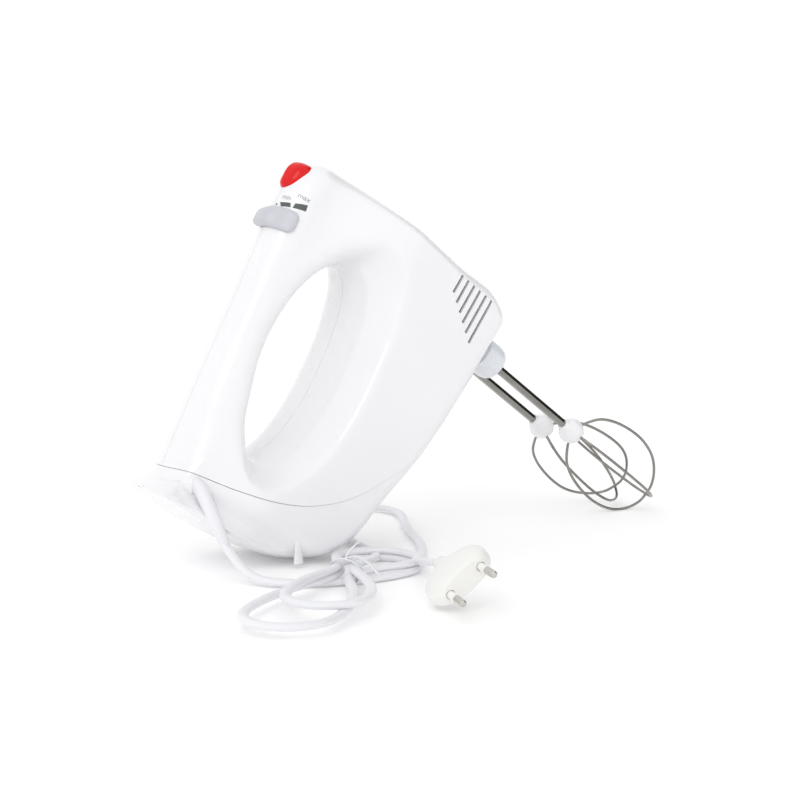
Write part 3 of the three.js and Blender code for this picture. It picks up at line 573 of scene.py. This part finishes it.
plug = plug_body()
combine(plug, "DIFFERENCE", *[plug_turned("socket", SOCKET, s * PIN_PITCH / 2) for s in (-1, 1)])
shade(plug, 40)
dress(plug, "white_plug", "housing", "plug_body")
for side, label in ((1, "left"), (-1, "right")):
    y = side * PIN_PITCH / 2
    sleeve = plug_turned(f"pin_sleeve_{label}", SLEEVE, y)
    dress(sleeve, "white_plug", "housing")
    pin = plug_turned(f"pin_{label}", PIN, y)
    dress(pin, "nickel", "housing", f"plug_pin_{label}")

# ---- housing -------------------------------------------------------------------------
openings, outlines = STATIONS[:, 0:2], STATIONS[:, 2:4]
toward = (outlines - openings) / np.linalg.norm(outlines - openings, axis=1)[:, None]
inside_openings, inside_outlines = openings + toward * WALL, outlines - toward * STATIONS[:, 6:7]
RINGS, ROWS = ((12, (22, 14, 14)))

seam_mid = spline(SEAM, 60)


def seam_zone(name, amount):
    """Everything below the seam, with the seam moved by amount."""
    ahead = np.gradient(seam_mid, axis=0)
    normal = np.column_stack([-ahead[:, 1], ahead[:, 0]]) / np.linalg.norm(ahead, axis=1)[:, None]
    line = [tuple(p) for p in seam_mid + normal * amount]
    return prism(name, [(-30, 106)] + line + [(141, -40), (141, -60), (-60, -60), (-60, 106)], -70, 70)


inside = skin("inside", inside_openings, inside_outlines, 3, (5, 4, 4), WALL, False)
shell = skin("shell", openings, outlines, RINGS, ROWS, 0, True)
cover = skin("cover", openings, outlines, RINGS, ROWS, STEP_IN, True)
combine(shell, "DIFFERENCE", copied(inside, "hollow"), seam_zone("zone", SEAM_GAP))
combine(cover, "DIFFERENCE", inside, block("heel", (-60, HEEL_FACE), (-70, 70), (-60, 140)))
combine(cover, "INTERSECT", seam_zone("zone", -SEAM_GAP))

cutters = []
for i in range(VENT["count"]):
    height = VENT["top"] - VENT["pitch"] * i
    cutters.append(block("vent", (VENT["rear"] - VENT["step"] * i, VENT["front"]), (-60, 60),
                         (height - VENT["half"], height + VENT["half"])))
for y in (-SPINDLE_Y, SPINDLE_Y):
    profile = [(0.01, -60), (PORT_RADIUS, -60), (PORT_RADIUS, 0), (0.01, 0)]
    cutters.append(lathe("port", profile, (SPINDLE_X, y, 0)))
cutters.append(block("lever_slot", *LEVER_SLOT))
for x, z in SCREWS:
    r, deep = SCREW_HOLE["radius"], SCREW_HOLE["deep"]
    cutters.append(lathe("head_hole", [(0.01, deep), (r, deep), (r, 80), (0.01, 80)], (x, 0, z), "y", 32))
combine(shell, "DIFFERENCE", *cutters)

left = copied(shell, "housing_left_look")
right = shell
right.name = "housing_right_look"
combine(left, "INTERSECT", block("left_zone", (-60, 220), (SEAM_GAP, 70), (-60, 140)))
combine(right, "INTERSECT", block("right_zone", (-60, 220), (-70, -SEAM_GAP), (-60, 140)))
cover.name = "lower_cover_look"
for piece, node in ((left, "housing_left"), (right, "housing_right"), (cover, "lower_cover")):
    largest(piece)
    shade(piece, 32)
    weigh = piece.modifiers.new("weigh", "WEIGHTED_NORMAL")
    weigh.keep_sharp = True
    dress(piece, "white_shell", "housing", node)

# A rib on the heel's right, wider toward its foot.
rib_line = spline([(-103.6, -33.4, 26), (-103, -35.4, 16), (-102.2, -35, 2.8)], 24)
heel_rib = tube("heel_rib", rib_line, 7.0, 3.8, 16, lambda t: 0.16 + 0.84 * t)
dress(heel_rib, "white_shell", "housing")

# A black sheet behind each side's vents is painted shade: it stands for the dark inside of the housing and
# keeps the inside out of view.
for side, label in ((1, "left"), (-1, "right")):
    depth = sorted(side * y for y in VENT_SHADE_SHEET["y"])
    shade_sheet = block(f"vent_shade_sheet_{label}", VENT_SHADE_SHEET["x"], depth, VENT_SHADE_SHEET["z"])
    dress(shade_sheet, "black_plastic", "housing")

# ---- port collar -----------------------------------------------------------------------
COLLAR = [(5.2, -43.6), (5.9, -44.5), (8.2, -44.5), (9.2, -44), (10.1, -42.6), (10.6, -40.5),
          (10.8, -37.5), (10.8, -29.5), (8.6, -29.5), (8.6, -20), (5.2, -20)]
collar = lathe("port_collar_look", COLLAR, (SPINDLE_X, SPINDLE_Y, 0), sides=64)
combine(collar, "UNION", lathe("collar_right", COLLAR, (SPINDLE_X, -SPINDLE_Y, 0), sides=64),
        block("bridge", (SPINDLE_X - 6, SPINDLE_X + 6), (-6, 6), (-40.5, -30)))
shade(collar, 38)
dress(collar, "pale_collar", "housing", "port_collar")

# ---- whisks ----------------------------------------------------------------------------
R, TOP = WHISK["radius"], WHISK["top"]
LOOP = [(5.6, TOP + 3.4), (0.4 * R, TOP + 0.6), (0.68 * R, TOP - 6), (0.88 * R, TOP - 17), (R, TOP - 35),
        (0.97 * R, TOP - 48), (0.82 * R, TOP - 59.5), (0.52 * R, TOP - 68.5), (0.24 * R, TOP - 72.4)]
for label, side, turn in (("left", 1, 45), ("right", -1, -15)):
    body = f"beater_{label}"
    centre = (SPINDLE_X, side * SPINDLE_Y, 0)
    for loop, angle, tip in (("a", turn, WHISK["tip"]), ("b", turn + 90, WHISK["tip"] + WHISK["nest"])):
        # the second loop's lower end nests inside the first one's
        lift = tip - WHISK["tip"]
        half = [(r, z + (lift if z < TOP - WHISK["swell"] else 0)) for r, z in LOOP]
        section = half + [(0, tip)] + [(-r, z) for r, z in reversed(half)]
        c, s = math.cos(math.radians(angle)), math.sin(math.radians(angle))
        line = spline([(centre[0] + r * c, centre[1] + r * s, z) for r, z in section], 170)
        wire = tube(f"whisk_wire_{loop}_{label}", place(line) / MM, 2 * WHISK["wire"], 2 * WHISK["wire"], 12)
        dress(wire, "beater_steel", body, f"wire_loop_{loop}_{label}")
    r0, mid = WHISK["ball_radius"], WHISK["ball"]
    profile = [(0.001, mid - r0)]
    profile += [(r0 * math.sin(t), mid - r0 * math.cos(t)) for t in np.radians(np.arange(8, 149, 7))]
    profile += [(3.7, mid + r0 - 0.4), (3.6, mid + r0 + 0.7), (3.2, mid + r0 + 1.0), (0.001, mid + r0 + 1.0)]
    ball = solid_of_turn(f"beater_ball_{label}_look", profile, centre, sides=56)
    dress(ball, "white_knob", body, f"beater_ball_{label}")
    bevel = frame["nodes"][f"beater_shaft_{label}"].modifiers.new("bevel", "BEVEL")
    bevel.width, bevel.segments, bevel.limit_method = SHAFT_BEVEL, 2, "ANGLE"


# ---- speed selector and eject button -----------------------------------------------------
def selector():
    """A band round the handle's top with rounded ends and a thumb rest, thinner at its border."""
    rows, columns, rings = 34, 60, []
    slope = math.radians(SADDLE["slope"])
    for face in ("outer", "inner"):
        for i in range(rows + 1):
            for j in range(columns + 1):
                s, t = -math.cos(math.pi * i / rows), -math.cos(math.pi * j / columns)
                reach = math.sqrt(max(0.0, 1 - SADDLE["corner"] * s ** 4))
                angle = math.radians((SADDLE["from"] + SADDLE["to"]) / 2
                                     + (SADDLE["to"] - SADDLE["from"]) / 2 * t * reach)
                along = SADDLE["half"] * s
                inset = min((1 - abs(s)) * SADDLE["half"], (1 - abs(t)) * SADDLE["end"])
                radius = SADDLE["inner"]
                if face == "outer":
                    y = SADDLE["outer"] * math.sin(angle)
                    thumb = SADDLE["thumb"] * math.exp(
                        -((y - SADDLE["thumb_y"]) / SADDLE["thumb_half_y"]) ** 4
                        - ((along - SADDLE["thumb_x"]) / SADDLE["thumb_half_x"]) ** 4)
                    rise = float(edge(np.float64(inset), SADDLE["border"], 2.0))
                    radius += (SADDLE["outer"] - SADDLE["inner"] + thumb) * rise + 0.02
                y, z = radius * math.sin(angle), radius * math.cos(angle)
                rings.append((SADDLE["x"] + along * math.cos(slope) - z * math.sin(slope), y,
                              SADDLE["z"] + along * math.sin(slope) + z * math.cos(slope)))
    n, faces = (rows + 1) * (columns + 1), []
    for i in range(rows):
        for j in range(columns):
            p = i * (columns + 1) + j
            quad = (p, p + 1, p + columns + 2, p + columns + 1)
            faces += [quad, tuple(n + v for v in reversed(quad))]
    border = (list(range(columns + 1)) + [i * (columns + 1) + columns for i in range(1, rows + 1)]
              + [rows * (columns + 1) + j for j in range(columns - 1, -1, -1)]
              + [i * (columns + 1) for i in range(rows - 1, 0, -1)])
    for a, b in zip(border, border[1:] + border[:1]):
        faces.append((b, a, n + a, n + b))
    piece = mesh_object("speed_selector_look", place(rings), faces)
    face_outward(piece)
    shade(piece, 50)
    return piece


dress(selector(), "grey_selector", "selector", "speed_selector")


def button():
    """A leaf-shaped push button, low at both ends, with a crest along its top."""
    top_line = spline(BUTTON_TOP, 60)
    middle, reach = (BUTTON["front"] + BUTTON["rear"]) / 2, (BUTTON["front"] - BUTTON["rear"]) / 2
    rings, rows, sides = [], 40, 40
    for i in range(rows + 1):
        t = -math.cos(math.pi * i / rows)
        x = middle + reach * t
        half = max(0.06, BUTTON["half"] * (1 - abs(t) ** 2.4) ** (1 / 2.2) * (0.92 + 0.08 * t))
        top = float(np.interp(x, top_line[:, 0], top_line[:, 1]))
        for k in range(sides):
            a = 2 * math.pi * k / sides
            side, lift = math.cos(a), math.sin(a)
            y = half * side
            shape = max(0.0, lift) ** BUTTON["round"]
            crest = BUTTON["crest"] * math.exp(-(y / BUTTON["crest_half"]) ** 2) * shape * (1 - t * t)
            height = top * shape + crest if lift > 0 else BUTTON["under"] * lift
            rings.append((x, y, BUTTON["base"] + height))
    return grid("eject_button_look", place(rings), rows + 1, sides, False, True, caps=True)


dress(button(), "red_button", "ejector", "eject_button")

# ---- printed marks -------------------------------------------------------------------
graph = bpy.context.evaluated_depsgraph_get()
surface = [BVHTree.FromObject(o, graph) for o in (left, right)]
HANDLE_AXIS = 104.5                     # the height of the handle's middle at the marks
PRINT_LIFT = 0.06
CAST_FROM, CAST_REACH = 0.04, 0.06      # metres: where the search for the surface starts, and its length


def on_handle(x, arc):
    """The point on the handle at x, and arc round from its crest toward the right side."""
    angle = arc / HANDLE_HALF
    out = Vector(place([(0, -math.sin(angle), math.cos(angle))])[0] - place([(0, 0, 0)])[0]).normalized()
    start = Vector(place([(x, 0, HANDLE_AXIS)])[0]) + out * CAST_FROM
    found = [h for h in (tree.ray_cast(start, -out, CAST_REACH) for tree in surface) if h[0] is not None]
    if not found:
        return start - out * CAST_FROM / 2
    hit = min(found, key=lambda h: h[3])
    return hit[0] + out * PRINT_LIFT * MM


def mark(name, corners, material, cells=8):
    """A printed patch that follows the handle. corners are (x, arc) in order round it."""
    a, b, c, d = (np.array(p, float) for p in corners)
    points = [on_handle(*((a * (1 - v) + d * v) * (1 - u) + (b * (1 - v) + c * v) * u))
              for u in np.linspace(0, 1, cells + 1) for v in np.linspace(0, 1, cells + 1)]
    piece = grid(name, points, cells + 1, cells + 1, False, False)
    piece.data.materials.append(material)
    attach(piece, "housing")


mark("mark_off", [(147.9, 1.6), (147.9, 2.7), (149.1, 2.7), (149.1, 1.6)], PRINT)
mark("mark_low", [(147.6, 6.0), (148.9, 11.4), (151.1, 10.3), (149.9, 4.0)], PRINT)
mark("mark_high", [(149.0, 12.5), (150.7, 19.2), (154.2, 18.6), (151.9, 12.6)], PRINT)


def word(name, text, x, arc, size):
    """Small printed lettering laid on the handle."""
    data = bpy.data.curves.new(name, "FONT")
    data.body, data.size = text, size
    plain = bpy.data.objects.new(name + "_plain", data)
    bpy.context.scene.collection.objects.link(plain)
    graph = bpy.context.evaluated_depsgraph_get()
    mesh = bpy.data.meshes.new_from_object(plain.evaluated_get(graph))
    bpy.data.objects.remove(plain)
    for v in mesh.vertices:
        v.co = on_handle(x + v.co.y, arc + v.co.x)
    piece = bpy.data.objects.new(name, mesh)
    bpy.context.scene.collection.objects.link(piece)
    piece.data.materials.clear()
    piece.data.materials.append(PRINT_FINE)
    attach(piece, "housing")


word("word_min", "min", 152.3, 3.6, 3.8)
word("word_max", "max", 155.6, 11.8, 4.0)

# ---- twist tie -----------------------------------------------------------------------
TIE_MIDDLE = np.array((*TIE, 5.8))
TIE_REACH, TIE_RISE, TIE_FLOOR = (4.7, -8.084), 6.9, 0.9
TIE_TAILS = ([(0, 0, 7.4), (2, -1, 11.5), (5, -3, 15), (6, -6, 17)],
             [(0, 0, 7.4), (3, -5, 9.5), (7, -12, 6), (9, -17, 1.6)])

loop = [TIE_MIDDLE + (TIE_REACH[0] * math.cos(t), TIE_REACH[1] * math.cos(t), TIE_RISE * math.sin(t) + 0.6)
        for t in np.linspace(0.5 * math.pi, 2.5 * math.pi, 40)]
loop = [np.array((p[0], p[1], max(TIE_FLOOR, p[2]))) for p in loop]
dress(tube("twist_tie", loop, TIE_WIDTH, TIE_THICKNESS, 10), "white_cord", "housing")
for k, ends in enumerate(TIE_TAILS):
    tail = spline([TIE_MIDDLE + np.array(p) for p in ends], 30)
    dress(tube(f"twist_tie_tail_{k + 1}", tail, 2.4, 0.9, 10), "white_cord", "housing")

# ---- stage ---------------------------------------------------------------------------
corners = [(x * FLOOR_HALF, y * FLOOR_HALF, 0) for x, y in ((-1, -1), (1, -1), (1, 1), (-1, 1))]
floor = mesh_object("floor", corners, [(0, 1, 2, 3)])
paper = finish_material("floor_white", (0.98, 0.98, 0.98), 0.9, mottle=0.0, depth=0.0)
glow = paper.node_tree.nodes["Principled BSDF"].inputs
glow["Emission Color"].default_value = (1, 1, 1, 1)
glow["Emission Strength"].default_value = FLOOR_GLOW
floor.data.materials.append(paper)

# A white sky with one dark flag, which the steel mirrors.
world = bpy.data.worlds.new("studio")
bpy.context.scene.world = world
world.use_nodes = True
sky, sky_links = world.node_tree.nodes, world.node_tree.links
sky["Background"].inputs["Color"].default_value = (1, 1, 1, 1)
toward_sky = sky.new("ShaderNodeTexCoord")
flag = sky.new("ShaderNodeVectorMath")
flag.operation = "DOT_PRODUCT"
flag.inputs[1].default_value = Vector(FLAG["toward"]).normalized()
sky_links.new(toward_sky.outputs["Generated"], flag.inputs[0])
shape = sky.new("ShaderNodeMapRange")
shape.interpolation_type = "SMOOTHSTEP"
shape.inputs["From Min"].default_value, shape.inputs["From Max"].default_value = FLAG["edge"]
shape.inputs["To Min"].default_value, shape.inputs["To Max"].default_value = SKY, FLAG["strength"]
sky_links.new(flag.outputs["Value"], shape.inputs["Value"])
sky_links.new(shape.outputs["Result"], sky["Background"].inputs["Strength"])
bpy.context.scene.view_settings.view_transform = "Standard"


def light(name, at, target, size, power):
    """A round soft light at one point, aimed at another."""
    data = bpy.data.lights.new(name, "AREA")
    data.shape, data.size, data.energy = "DISK", size, power
    lamp = bpy.data.objects.new(name, data)
    bpy.context.scene.collection.objects.link(lamp)
    lamp.location = at
    lamp.rotation_euler = (Vector(target) - Vector(at)).to_track_quat("-Z", "Y").to_euler()


light("key", (-1.2, -0.9, 1.3), (0, 0, 0.1), 0.7, 3.0)
